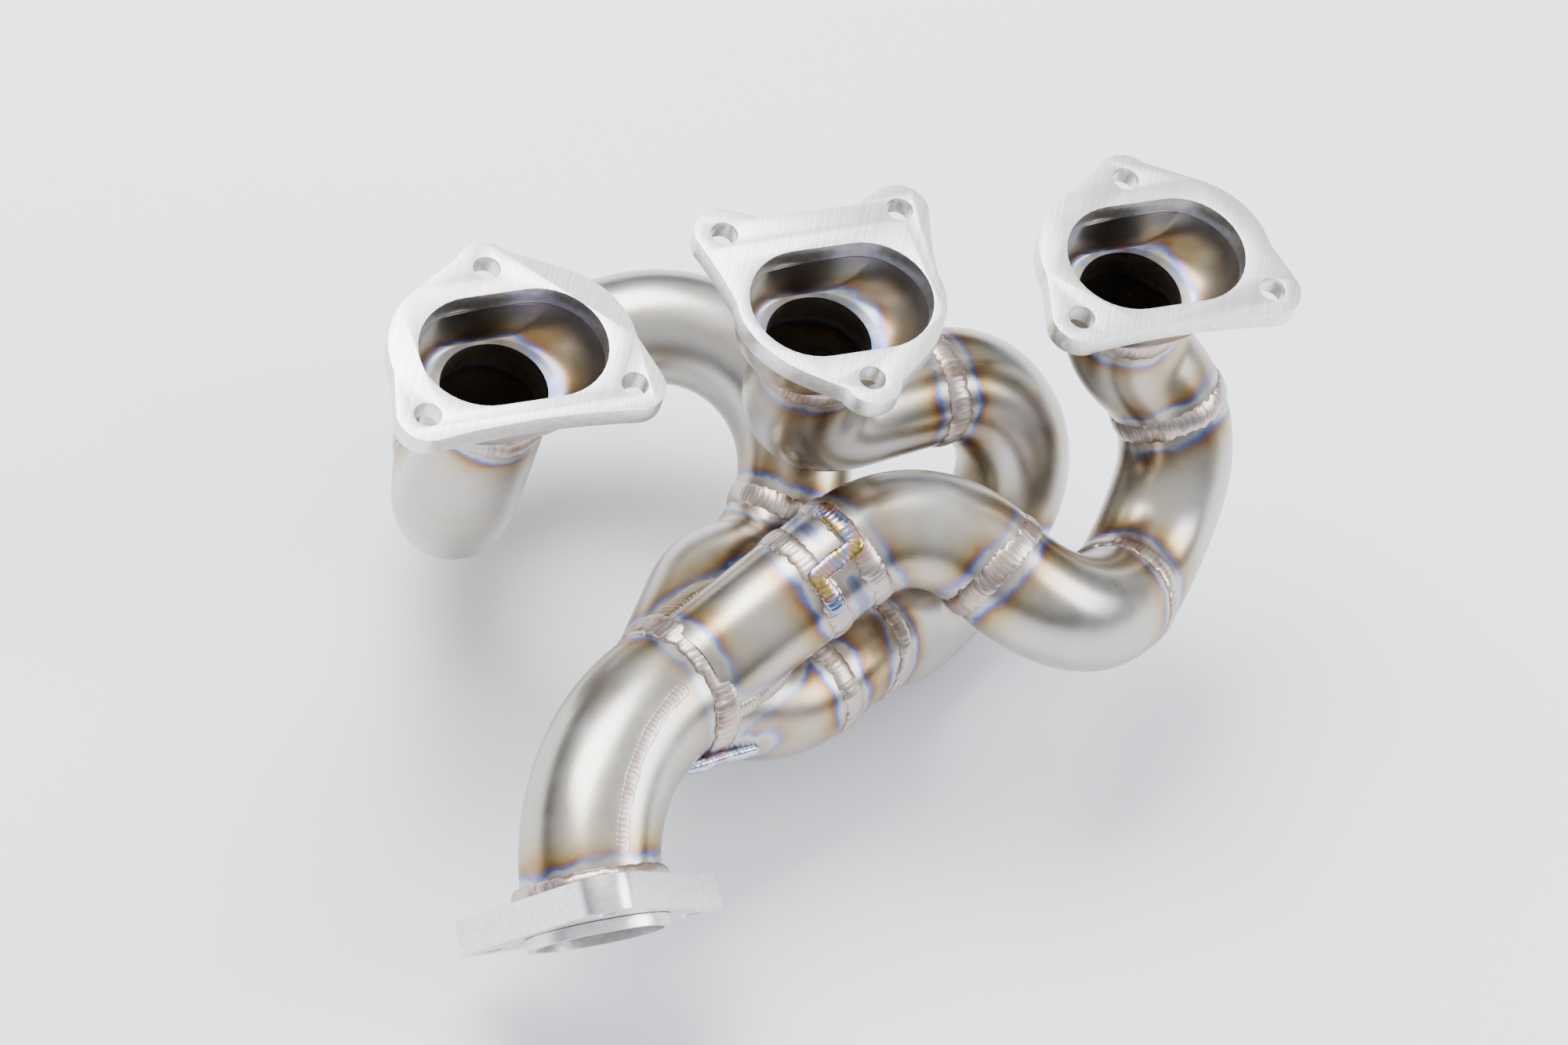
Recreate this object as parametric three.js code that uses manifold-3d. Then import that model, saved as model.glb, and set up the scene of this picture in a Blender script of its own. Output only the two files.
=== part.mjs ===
// Exhaust manifold for a bank of three cylinders. Each port has a flange and a cup that turns the oval port
// into round tube. Three runners of bent and welded tube swing round each other into a three-into-one
// collector, and an elbow leads from the collector to a three-bolt outlet flange. Millimetres. The port faces
// point up, along +Z.
import * as THREE from 'three';
import { mergeVertices } from 'three/addons/utils/BufferGeometryUtils.js';
import Module from 'manifold-3d';

const wasm = await Module();
wasm.setup();

// Ports
const portPitch = 118;
const portArcReach = 10.8; // from the port's centre to the centre of each round end
const portRadius = 22;
const portFlangeThickness = 8;
const studHoleDiameter = 9.5;
const studLobeRadius = 10.5;
const endStuds = [[0, 32.5], [36.3, -21.4], [-36.3, -21.4]];
const middleStuds = [[-32.4, 33], [32.4, 33], [0, -33]];
const endFlangeWall = 10; // round the port on the two end flanges
const middleFlangeWall = 4.5;

// Port cups
const cupWall = 2;
const cupDepth = 25; // from the underside of the flange to the first joint of the runner
const runnerOffset = [-2, 1.5]; // from the port's centre to the runner's centre line

// Runner and outlet tubes
const tubeDiameter = 41.3;
const tubeWall = 1.65;
const outletDiameter = 48.3;
const outletWall = 2;

// Collector
const collectorJoint = [-66.7, -82.4, -70.5]; // from below the middle port, level with the runners' starts
const collectorHeading = 207; // degrees round +Z from +X
const collectorRise = 8; // degrees above level
const legSplay = 27; // degrees between a leg and the collector's axis
const legTwist = -9; // degrees from straight up to the third leg, seen along the axis

// Outlet
const outletBendRadius = 76;
const outletLead = 2.6; // straight before the elbow's bend, which ends in the middle of the flange
const outletHeading = 269; // degrees round +Z from +X
const outletDrop = 21.5; // degrees below level
const outletFlangeThickness = 12;
const outletBoltCircle = 79;
const outletBoltHole = 9;
const outletLobeRadius = 11.2;
const outletFirstLobe = 101; // degrees
const outletLipHeight = 4;
const outletLipWall = 2.85;
const seamBeadRadius = 1.9;
const seamAngle = 84; // degrees round the elbow from the outside of its bend

// Welds
const beadHalfWidth = 3.8;
const beadCrown = 1.7;
const collectorBeadRadius = 5.2;
const valleyBeadRadius = 3.4;
const filletLeg = 5;
const tieBeadRadius = 5.5; // closes the fork between the first and third legs
const bridgeBeadRadius = 3.6; // runs from the second leg across the joint to the elbow
const bridgeAngle = -108; // degrees round the collector's axis from straight up

// Clearances between pieces, and how finely round shapes are divided
const gap = 0.3;
const outletFit = 0.6; // round the elbow in the outlet flange, where its bend ends
const jointRelief = 2; // from a tube's end to the middle of its joint
const tubeSides = 16;
const plateSides = 20; // of each round edge and hole in the plates
const bendStep = 15;

const tubeRadius = tubeDiameter / 2;
const tubeBore = tubeRadius - tubeWall;
const outletRadius = outletDiameter / 2;
const outletBore = outletRadius - outletWall;
const runnerStart = -portFlangeThickness - cupDepth;
const beadCover = beadHalfWidth + gap - jointRelief; // from a tube's end to just past the edge of its bead

const radians = THREE.MathUtils.degToRad;
const up = new THREE.Vector3(0, 0, 1);

// A unit vector from a heading round +Z and a rise above level, both in degrees
function bearing(heading, rise) {
  const level = Math.cos(radians(rise));
  const turn = radians(heading);
  return new THREE.Vector3(level * Math.cos(turn), level * Math.sin(turn), Math.sin(radians(rise)));
}

// ---- centre lines ----

// A tube's centre line: straight spans that meet at corners, each corner rounded to its bend radius
class Route {
  constructor(corners, bendRadii) {
    this.spans = [];
    this.bends = [];
    let start = 0;
    let from = corners[0];
    corners.slice(1).forEach((corner, index) => {
      const direction = corner.clone().sub(corners[index]).normalize();
      const after = corners[index + 2];
      if (!after) {
        this.spans.push({ start, from, direction });
        this.length = start + corner.distanceTo(from);
        return;
      }
      const onward = after.clone().sub(corner).normalize();
      const turn = direction.angleTo(onward);
      const radius = bendRadii[index];
      const reach = radius * Math.tan(turn / 2);
      const entry = corner.clone().addScaledVector(direction, -reach);
      this.spans.push({ start, from, direction });
      start += entry.clone().sub(from).dot(direction);
      const inward = onward.clone().addScaledVector(direction, -Math.cos(turn)).normalize();
      const centre = entry.clone().addScaledVector(inward, radius);
      const bend = { start, end: start + radius * turn, centre, inward, direction, radius };
      this.spans.push(bend);
      this.bends.push(bend);
      start = bend.end;
      from = corner.clone().addScaledVector(onward, reach);
    });
  }

  // The point and direction at a distance along the line, which runs on straight past both ends
  at(distance) {
    const span = this.spans.findLast((candidate) => candidate.start <= distance) ?? this.spans[0];
    const run = distance - span.start;
    if (!span.centre) {
      return { point: span.from.clone().addScaledVector(span.direction, run), direction: span.direction };
    }
    const angle = run / span.radius;
    const point = span.centre.clone()
      .addScaledVector(span.inward, -span.radius * Math.cos(angle))
      .addScaledVector(span.direction, span.radius * Math.sin(angle));
    const direction = span.direction.clone().multiplyScalar(Math.cos(angle));
    return { point, direction: direction.addScaledVector(span.inward, Math.sin(angle)) };
  }

  // The distance to a place in a bend, where bend 1 is the first and a share of 1 is the bend's far end
  inBend(number, share) {
    const bend = this.bends[number - 1];
    return THREE.MathUtils.lerp(bend.start, bend.end, share);
  }

  // Distances at which a sweep needs a section: both ends, past the edge of the bead on each end, and the
  // steps of each bend between them
  stations(first, last) {
    const marks = [first + beadCover, last - beadCover];
    for (const bend of this.bends) {
      const steps = Math.ceil((bend.end - bend.start) / bendStep);
      for (let step = 0; step <= steps; step += 1) {
        marks.push(THREE.MathUtils.lerp(bend.start, bend.end, step / steps));
      }
    }
    const shortest = 0.5;
    marks.sort((before, after) => before - after);
    const inner = marks.filter((mark) => mark > first + shortest && mark < last - shortest);
    const apart = inner.filter((mark, index) => index === 0 || mark - inner[index - 1] > shortest);
    return [first, ...apart, last];
  }
}

// The stretch of a route between two distances, for ExtrudeGeometry to sweep along
class Stretch extends THREE.Curve {
  constructor(route, first, last) {
    super();
    this.route = route;
    this.stations = route.stations(first, last);
    this.steps = this.stations.length - 1;
  }

  place(share) {
    const position = share * this.steps;
    const index = Math.min(Math.floor(position), this.steps - 1);
    return THREE.MathUtils.lerp(this.stations[index], this.stations[index + 1], position - index);
  }

  getPointAt(share) {
    return this.route.at(this.place(share)).point;
  }

  getTangentAt(share) {
    return this.route.at(this.place(share)).direction.clone();
  }
}

// ---- solids ----

function solid(geometry) {
  const bare = geometry.clone();
  bare.deleteAttribute('normal');
  bare.deleteAttribute('uv');
  const merged = mergeVertices(bare, 1e-4);
  const vertProperties = new Float32Array(merged.attributes.position.array);
  const triVerts = new Uint32Array(merged.index.array);
  return new wasm.Manifold(new wasm.Mesh({ numProp: 3, vertProperties, triVerts }));
}

function geometryOf(body) {
  const mesh = body.getMesh();
  const geometry = new THREE.BufferGeometry();
  geometry.setAttribute('position', new THREE.BufferAttribute(mesh.vertProperties, 3));
  geometry.setIndex(new THREE.BufferAttribute(mesh.triVerts, 1));
  geometry.computeVertexNormals();
  return geometry;
}

function disc(radius, bore = 0) {
  const shape = new THREE.Shape().absarc(0, 0, radius, 0, 2 * Math.PI);
  if (bore > 0) {
    shape.holes.push(new THREE.Path().absarc(0, 0, bore, 0, 2 * Math.PI));
  }
  return shape;
}

function sweep(section, stretch, sides = tubeSides) {
  const divisions = { steps: stretch.steps, curveSegments: sides / 2 };
  return new THREE.ExtrudeGeometry(section, { ...divisions, extrudePath: stretch, bevelEnabled: false });
}

function rod(route, first, last, radius) {
  return solid(sweep(disc(radius), new Stretch(route, first, last)));
}

// A ring about Z from a closed outline of [radius, height] points
function ring(outline, sides = tubeSides) {
  const points = [...outline, outline[0]].map(([radius, height]) => new THREE.Vector2(radius, height));
  return new THREE.LatheGeometry(points, sides).rotateX(Math.PI / 2);
}

// A round bead of weld laid along a few points
function bead(points, radius) {
  const curve = new THREE.CatmullRomCurve3(points);
  const options = { steps: points.length, extrudePath: curve, curveSegments: 4, bevelEnabled: false };
  return solid(new THREE.ExtrudeGeometry(disc(radius), options));
}

// A box that fills everything on the far side of a plane
function beyond(point, direction) {
  const size = 400;
  const box = new THREE.BoxGeometry(size, size, size).translate(0, 0, size / 2);
  box.applyQuaternion(new THREE.Quaternion().setFromUnitVectors(up, direction));
  return solid(box.translate(point.x, point.y, point.z));
}

// ---- the object ----

const manifold = new THREE.Group();
const finishes = {
  flange: { color: 0xcfcfcc, roughness: 0.42, metalness: 1 },
  tube: { color: 0xa9a59c, roughness: 0.34, metalness: 1 },
  weld: { color: 0x93847a, roughness: 0.5, metalness: 1 },
};

function add(name, geometry, finish) {
  const mesh = new THREE.Mesh(geometry, new THREE.MeshStandardMaterial(finishes[finish]));
  mesh.name = name;
  manifold.add(mesh);
  return mesh;
}

// ---- port flanges ----

function turn(outline, [x, y], radius, from, to) {
  outline.absarc(x, y, radius, radians(from), radians(to), true);
}

function endFlangeOutline() {
  const [top, right, left] = endStuds;
  const wallRadius = portRadius + endFlangeWall;
  const outline = new THREE.Shape();
  turn(outline, top, studLobeRadius, 145, 35);
  turn(outline, [portArcReach, 0], wallRadius, 62, -5);
  turn(outline, right, studLobeRadius, 15, -100);
  outline.quadraticCurveTo(0, -27.5, left[0] + 1.8, left[1] - 10.3);
  turn(outline, left, studLobeRadius, -80, -195);
  turn(outline, [-portArcReach, 0], wallRadius, 185, 118);
  outline.closePath();
  return outline;
}

function middleFlangeOutline() {
  const [left, right, bottom] = middleStuds;
  const wallRadius = portRadius + middleFlangeWall;
  const outline = new THREE.Shape();
  turn(outline, left, studLobeRadius, 190, 70);
  outline.quadraticCurveTo(-24, 40.5, -18, 37.5);
  outline.lineTo(18, 37.5);
  outline.quadraticCurveTo(24, 40.5, right[0] - 3.6, right[1] + 9.9);
  turn(outline, right, studLobeRadius, 110, -10);
  outline.quadraticCurveTo(38.6, 18, portArcReach + 26.1, 4.6);
  turn(outline, [portArcReach, 0], wallRadius, 10, -35);
  outline.bezierCurveTo(28, -24, 18, -30, bottom[0] + 10.1, bottom[1] - 2.7);
  turn(outline, bottom, studLobeRadius, -15, -165);
  outline.bezierCurveTo(-18, -30, -28, -24, -portArcReach - 21.7, -15.2);
  turn(outline, [-portArcReach, 0], wallRadius, -145, -190);
  outline.quadraticCurveTo(-38.6, 18, left[0] - 10.3, left[1] - 1.8);
  outline.closePath();
  return outline;
}

function portHole() {
  const hole = new THREE.Path();
  hole.absarc(portArcReach, 0, portRadius, -Math.PI / 2, Math.PI / 2);
  hole.absarc(-portArcReach, 0, portRadius, Math.PI / 2, 1.5 * Math.PI);
  hole.closePath();
  return hole;
}

function portFlange(outline, studs) {
  outline.holes.push(portHole());
  for (const [x, y] of studs) {
    outline.holes.push(new THREE.Path().absarc(x, y, studHoleDiameter / 2, 0, 2 * Math.PI));
  }
  const options = { depth: portFlangeThickness, curveSegments: plateSides / 2, bevelEnabled: false };
  return new THREE.ExtrudeGeometry(outline, options).translate(0, 0, -portFlangeThickness);
}

// ---- port cups ----

// A dome from the oval port down to a round neck. Going down, its radius shrinks, its two round ends close
// up, and its centre moves across to the runner.
function ovalDome(topRadius, neckRadius, top, shoulder, bottom) {
  const rings = 5;
  const profile = [new THREE.Vector2(0, bottom), new THREE.Vector2(neckRadius, bottom)];
  for (let step = 0; step <= rings; step += 1) {
    const climb = (step / rings) * (Math.PI / 2);
    const radius = THREE.MathUtils.lerp(neckRadius, topRadius, Math.sin(climb));
    profile.push(new THREE.Vector2(radius, THREE.MathUtils.lerp(top, shoulder, Math.cos(climb))));
  }
  profile.push(new THREE.Vector2(0, top));
  const geometry = new THREE.LatheGeometry(profile, 24).rotateX(Math.PI / 2);
  const position = geometry.attributes.position;
  for (let index = 0; index < position.count; index += 1) {
    const [x, y, z] = [position.getX(index), position.getY(index), position.getZ(index)];
    const depth = THREE.MathUtils.clamp((top - z) / (top - shoulder), 0, 1);
    const radius = Math.hypot(x, y);
    const side = radius > 0 ? THREE.MathUtils.clamp((3 * x) / radius, -1, 1) : 0;
    const spread = portArcReach * Math.sqrt(1 - depth * depth) * side;
    position.setXY(index, x + spread + runnerOffset[0] * depth, y + runnerOffset[1] * depth);
  }
  return geometry;
}

function portCup() {
  const top = -portFlangeThickness - gap;
  const bottom = runnerStart + jointRelief;
  const shoulder = runnerStart + beadHalfWidth + 2 * gap;
  const outer = solid(ovalDome(portRadius + cupWall, tubeRadius, top, shoulder, bottom));
  const inside = shoulder + cupWall;
  const inner = solid(ovalDome(portRadius, tubeBore, top + gap, inside, bottom - 1));
  return geometryOf(outer.subtract(inner));
}

// ---- runners ----

const ports = [-portPitch, 0, portPitch].map((x) => new THREE.Vector3(x, 0, 0));
const joint = new THREE.Vector3(0, 0, runnerStart).add(new THREE.Vector3(...collectorJoint));
const axis = bearing(collectorHeading, collectorRise);
const axisUp = up.clone().addScaledVector(axis, -axis.z).normalize();
const axisSide = axis.clone().cross(axisUp);
const legOffset = outletRadius - tubeRadius;

// The way out from the collector's axis at an angle from straight up
function outward(angle) {
  const turned = radians(angle);
  return axisUp.clone().multiplyScalar(Math.cos(turned)).addScaledVector(axisSide, Math.sin(turned));
}

// Each runner: corners measured from its start under the port, then corners measured from the collector's
// joint, the bend radii of all its corners, the length of its straight into the collector, and the angle of
// that leg. Its pieces are listed in order, each ending at a place in a bend. The last piece is the collector
// leg.
const runners = [
  {
    fromPort: [[-3, 0, -89], [26, 70.5, -91]],
    fromJoint: [[123.7, 149.4, 18.5], [63.7, 64.4, -42.5]],
    bendRadii: [40, 44, 49.5, 31, 46],
    legLength: 64,
    legAngle: legTwist + 120,
    pieces: [['elbow', 1, 1.05], ['return_bend', 3, 1]],
  },
  {
    fromPort: [[0, 0, -48], [76.5, 13.5, -53], [104.5, -3, -86]],
    fromJoint: [[131.2, 50.9, -71.9], [82.5, 20.4, -22.7]],
    bendRadii: [31, 34, 41, 44, 44, 43],
    legLength: 51,
    legAngle: legTwist - 120,
    pieces: [['elbow', 2, 0], ['return_bend', 3, 1], ['lower_bend', 5, 0.5], ['sleeve', 6, 0]],
  },
  {
    fromPort: [[0, 0, -20], [35, -17, -50], [12, -55.1, -89], [-39.4, -100.5, -57]],
    fromJoint: [],
    bendRadii: [38, 43, 41.5, 46.5, 39],
    legLength: 109.7,
    legAngle: legTwist,
    pieces: [
      ['elbow', 2, 0.35], ['long_bend', 3, 1], ['over_bend', 4, 1], ['entry_bend', 5, 1], ['sleeve', 5, 1.33],
    ],
  },
];

function runnerRoute(runner, port) {
  const start = port.clone().add(new THREE.Vector3(...runnerOffset, runnerStart));
  const out = outward(runner.legAngle);
  const end = joint.clone().addScaledVector(out, legOffset);
  const splay = radians(legSplay);
  const inward = axis.clone().multiplyScalar(Math.cos(splay)).addScaledVector(out, -Math.sin(splay));
  const corners = [
    start,
    ...runner.fromPort.map((corner) => start.clone().add(new THREE.Vector3(...corner))),
    ...runner.fromJoint.map((corner) => joint.clone().add(new THREE.Vector3(...corner))),
    end.clone().addScaledVector(inward, -runner.legLength),
    end,
  ];
  return new Route(corners, runner.bendRadii);
}

const facet = Math.cos(Math.PI / tubeSides);

// The inner radius of the bead over a joint. The bead is straight, so it clears the inner side of any bend
// under it.
function beadLap(route, distance) {
  const strays = route.bends.map((bend) => {
    const reach = Math.min(
      beadHalfWidth, distance + beadHalfWidth - bend.start, bend.end - distance + beadHalfWidth);
    const inside = bend.radius - tubeRadius;
    return reach > 0 ? inside - Math.sqrt(inside * inside - reach * reach) : 0;
  });
  return (tubeRadius + gap + Math.max(...strays)) / facet;
}

// A weld bead round a tube: a root between the two tube ends, under a crown that laps over both
function addBead(name, route, distance) {
  const lap = beadLap(route, distance);
  const crown = lap + beadCrown;
  const bead = add(name, ring([
    [lap, -beadHalfWidth], [crown, -beadHalfWidth / 2], [crown, beadHalfWidth / 2], [lap, beadHalfWidth],
    [lap, gap], [tubeBore, gap], [tubeBore, -gap], [lap, -gap],
  ]), 'weld');
  const { point, direction } = route.at(distance);
  bead.position.copy(point);
  bead.quaternion.setFromUnitVectors(up, direction);
}

const routes = runners.map((runner, index) => runnerRoute(runner, ports[index]));
const legs = [];

ports.forEach((port, index) => {
  const number = index + 1;
  const isMiddle = index === 1;
  const flange = isMiddle
    ? portFlange(middleFlangeOutline(), middleStuds)
    : portFlange(endFlangeOutline(), endStuds);
  add(`port_flange_${number}`, flange, 'flange').position.copy(port);
  add(`port_cup_${number}`, portCup(), 'tube').position.copy(port);
  addBead(`port_weld_${number}`, routes[index], 0);

  const route = routes[index];
  let start = 0;
  runners[index].pieces.forEach(([piece, bend, share], order) => {
    const end = route.inBend(bend, share);
    const stretch = new Stretch(route, start + jointRelief, end - jointRelief);
    add(`runner_${number}_${piece}`, sweep(disc(tubeRadius, tubeBore), stretch), 'tube');
    addBead(`runner_${number}_weld_${order + 1}`, route, end);
    start = end;
  });
  legs.push({ route, start: start + jointRelief, end: route.length });
});

// ---- collector ----

const mergeLength = 50; // the legs are clear of each other further up than this

// The third of the collector that one leg may fill, as a wedge about the axis
function wedge(angle) {
  const reach = 200;
  const tip = gap / 2 / Math.sin(radians(60));
  const shape = new THREE.Shape([
    new THREE.Vector2(tip, 0),
    new THREE.Vector2(tip + reach * Math.cos(radians(60)), -reach * Math.sin(radians(60))),
    new THREE.Vector2(tip + reach * Math.cos(radians(60)), reach * Math.sin(radians(60))),
  ]);
  const overlap = 1;
  const options = { depth: reach, bevelEnabled: false };
  const geometry = new THREE.ExtrudeGeometry(shape, options).translate(0, 0, -overlap);
  const out = outward(angle);
  const across = axis.clone().cross(out);
  const placing = new THREE.Matrix4().makeBasis(out, across, axis);
  placing.setPosition(joint.clone().addScaledVector(axis, -mergeLength));
  return solid(geometry.applyMatrix4(placing));
}

const upstream = beyond(joint.clone().addScaledVector(axis, -mergeLength), axis.clone().negate());
const downstream = beyond(joint.clone().addScaledVector(axis, -jointRelief), axis);
const overrun = 12;

function legRod(leg, radius) {
  return rod(leg.route, leg.start, leg.end + overrun, radius);
}

legs.forEach((leg, index) => {
  const territory = wedge(runners[index].legAngle).add(upstream);
  let body = legRod(leg, tubeRadius).intersect(territory).subtract(downstream);
  legs.forEach((other) => {
    const bore = rod(other.route, other.start - 1, other.end + overrun, tubeBore);
    body = body.subtract(bore);
  });
  add(`collector_leg_${index + 1}`, geometryOf(body), 'tube');
});

// ---- outlet ----

const outletDirection = bearing(outletHeading, -outletDrop);
const outletTurn = axis.angleTo(outletDirection);
const outletReach = outletBendRadius * Math.tan(outletTurn / 2);
const outletCorner = joint.clone().addScaledVector(axis, outletLead + outletReach);
const outletEnd = outletCorner.clone().addScaledVector(outletDirection, outletReach);
const outletRoute = new Route([joint, outletCorner, outletEnd], [outletBendRadius]);
const halfFlange = outletFlangeThickness / 2;

const elbow = new Stretch(outletRoute, jointRelief, outletRoute.length + halfFlange - gap);
add('outlet_elbow', sweep(disc(outletRadius, outletBore), elbow), 'tube');

// Places a piece on the outlet's axis, at a height above the middle of the flange, with its X level
function onOutlet(geometry, height) {
  const side = outletDirection.clone().cross(new THREE.Vector3(1, 0, 0)).normalize();
  const placing = new THREE.Matrix4().makeBasis(side.clone().cross(outletDirection), side, outletDirection);
  placing.setPosition(outletEnd.clone().addScaledVector(outletDirection, height));
  return geometry.applyMatrix4(placing);
}

function outletFlange() {
  const outline = new THREE.Shape();
  const boltRadius = outletBoltCircle / 2;
  const bolts = [0, 240, 120].map((angle) => outletFirstLobe + angle);
  for (const bolt of bolts) {
    const centre = [boltRadius * Math.cos(radians(bolt)), boltRadius * Math.sin(radians(bolt))];
    turn(outline, centre, outletLobeRadius, bolt + 60, bolt - 60);
    outline.holes.push(new THREE.Path().absarc(...centre, outletBoltHole / 2, 0, 2 * Math.PI));
  }
  outline.closePath();
  const facets = Math.cos(Math.PI / plateSides);
  outline.holes.push(new THREE.Path().absarc(0, 0, (outletRadius + outletFit) / facets, 0, 2 * Math.PI));
  const options = { depth: outletFlangeThickness, curveSegments: plateSides / 2, bevelEnabled: false };
  return new THREE.ExtrudeGeometry(outline, options);
}

add('outlet_flange', onOutlet(outletFlange(), -halfFlange), 'flange');

const lipRing = ring([
  [outletBore, 0], [outletBore + outletLipWall, 0],
  [outletBore + outletLipWall, outletLipHeight], [outletBore, outletLipHeight],
]);
add('outlet_lip_ring', onOutlet(lipRing, halfFlange + gap), 'flange');

const filletInner = outletRadius - gap;
const fillet = ring([[filletInner, 0], [filletInner, -filletLeg], [filletInner + filletLeg, 0]]);
const filletWeld = solid(onOutlet(fillet, -halfFlange - gap));
const elbowSkin = rod(outletRoute, -overrun, outletRoute.length + halfFlange, outletRadius + gap);
add('outlet_weld', geometryOf(filletWeld.subtract(elbowSkin)), 'weld');

// The long weld that closes the elbow's two pressed halves
function seamWeld() {
  const normal = axis.clone().cross(outletDirection).normalize();
  const first = outletLead + collectorBeadRadius + 2 * seamBeadRadius;
  const last = outletRoute.length - halfFlange - filletLeg - 2 * seamBeadRadius;
  const points = outletRoute.stations(first, last).map((distance) => {
    const { point, direction } = outletRoute.at(distance);
    const outside = direction.clone().cross(normal);
    const offset = outside.multiplyScalar(Math.cos(radians(seamAngle)));
    offset.addScaledVector(normal, Math.sin(radians(seamAngle)));
    return point.addScaledVector(offset, outletRadius - 0.4);
  });
  return bead(points, seamBeadRadius).subtract(elbowSkin);
}

add('outlet_seam_weld', geometryOf(seamWeld()), 'weld');

// ---- collector welds ----

const skins = legs.map((leg) => rod(leg.route, leg.start, leg.end + overrun, tubeRadius + gap));
const bundle = skins[0].add(skins[1]).add(skins[2]);
const upstreamSkin = bundle.subtract(beyond(joint.clone().addScaledVector(axis, gap - jointRelief), axis));
const elbowStart = joint.clone().addScaledVector(axis, jointRelief - gap);
const downstreamSkin = elbowSkin.intersect(beyond(elbowStart, axis));
const bores = legs.map((leg) => rod(leg.route, leg.end - 30, leg.end + overrun, tubeBore));
const gasWay = bores[0].add(bores[1]).add(bores[2]).add(rod(outletRoute, -gap, overrun, outletBore));

// The ring weld between the bundled legs and the outlet elbow
function collectorRing(radius) {
  const outline = [];
  for (let step = 0; step < 8; step += 1) {
    const angle = (step / 8) * 2 * Math.PI;
    outline.push([outletRadius - 1.8 + radius * Math.cos(angle), -0.5 + radius * Math.sin(angle)]);
  }
  const geometry = ring(outline).applyQuaternion(new THREE.Quaternion().setFromUnitVectors(up, axis));
  return solid(geometry.translate(joint.x, joint.y, joint.z));
}

const collectorWeld = collectorRing(collectorBeadRadius).subtract(upstreamSkin).subtract(downstreamSkin);
add('collector_weld', geometryOf(collectorWeld.subtract(gasWay)), 'weld');

// A point at an angle round the collector's axis, at a radius from it and a distance up it from the joint
function collectorPoint(angle, radius, distance) {
  return joint.clone().addScaledVector(axis, -distance).addScaledVector(outward(angle), radius);
}

// The point on the plane between two neighbouring legs where their surfaces cross, at a distance up the axis
function valleyPoint(leg, angle, distance) {
  const out = outward(angle);
  const { point, direction } = leg.route.at(leg.route.length);
  const away = collectorPoint(angle, 0, distance).sub(point);
  const along = away.dot(direction);
  const slope = out.dot(direction);
  const square = 1 - slope * slope;
  const half = away.dot(out) - along * slope;
  const rest = away.lengthSq() - along * along - tubeRadius * tubeRadius;
  const reach = (-half + Math.sqrt(Math.max(half * half - square * rest, 0))) / square;
  return collectorPoint(angle, reach, distance);
}

const valleyStart = collectorBeadRadius + 1;
const valleyEnd = 36;

function valleyWeld(leg, angle) {
  const marks = [1, 0.67, 0.33, 0].map((share) => THREE.MathUtils.lerp(valleyStart, valleyEnd, share));
  return bead(marks.map((mark) => valleyPoint(leg, angle, mark)), valleyBeadRadius).subtract(bundle);
}

const forkAngle = legTwist + 60;
add('valley_weld_31', geometryOf(valleyWeld(legs[2], forkAngle)), 'weld');
add('valley_weld_12', geometryOf(valleyWeld(legs[0], legTwist + 180)), 'weld');
add('valley_weld_23', geometryOf(valleyWeld(legs[1], legTwist - 60)), 'weld');

// The fork between the first and third legs is closed further up, midway between the two tubes
const tiePoints = [0, 10, 20, 30].map((step) => {
  const distance = valleyEnd + tieBeadRadius / 2 + step;
  const legReach = legOffset + distance * Math.tan(radians(legSplay));
  return collectorPoint(forkAngle, legReach / 2 + tieBeadRadius / 2, distance);
});
const lastJoint = legs[2].start - jointRelief;
const ringReach = beadHalfWidth + gap;
const ringRadius = (beadLap(legs[2].route, lastJoint) + beadCrown + gap) / facet;
const ringSkin = rod(legs[2].route, lastJoint - ringReach, lastJoint + ringReach, ringRadius);
const tieSkins = skins[0].add(skins[2]).add(ringSkin);
add('tie_weld', geometryOf(bead(tiePoints, tieBeadRadius).subtract(tieSkins)), 'weld');

const bridgePoints = [[33.4, 16], [30, 6], [27.6, -4], [25.2, -14]].map(([radius, distance]) =>
  collectorPoint(bridgeAngle, radius, distance));
const bridgeWeld = bead(bridgePoints, bridgeBeadRadius).subtract(bundle).subtract(elbowSkin);
add('bridge_weld', geometryOf(bridgeWeld.subtract(collectorRing(collectorBeadRadius + gap))), 'weld');

// ---- stand on the lowest point, centred ----

const bounds = new THREE.Box3().setFromObject(manifold, true);
const middle = bounds.getCenter(new THREE.Vector3());
manifold.position.set(-middle.x, -middle.y, -bounds.min.z);

export default manifold;
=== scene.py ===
"""The looks of a welded exhaust manifold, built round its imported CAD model.

Sizes are in millimetres from the centre of the middle port's face, and turned to metres where a mesh is
made. The centre lines are the CAD model's own. Each tube is a ring that is drawn along its centre line and
given its wall, and each weld is a ring or strip of ripples laid on its joint."""

import math

import bpy
import numpy as np
from mathutils import Matrix, Vector, kdtree


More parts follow.
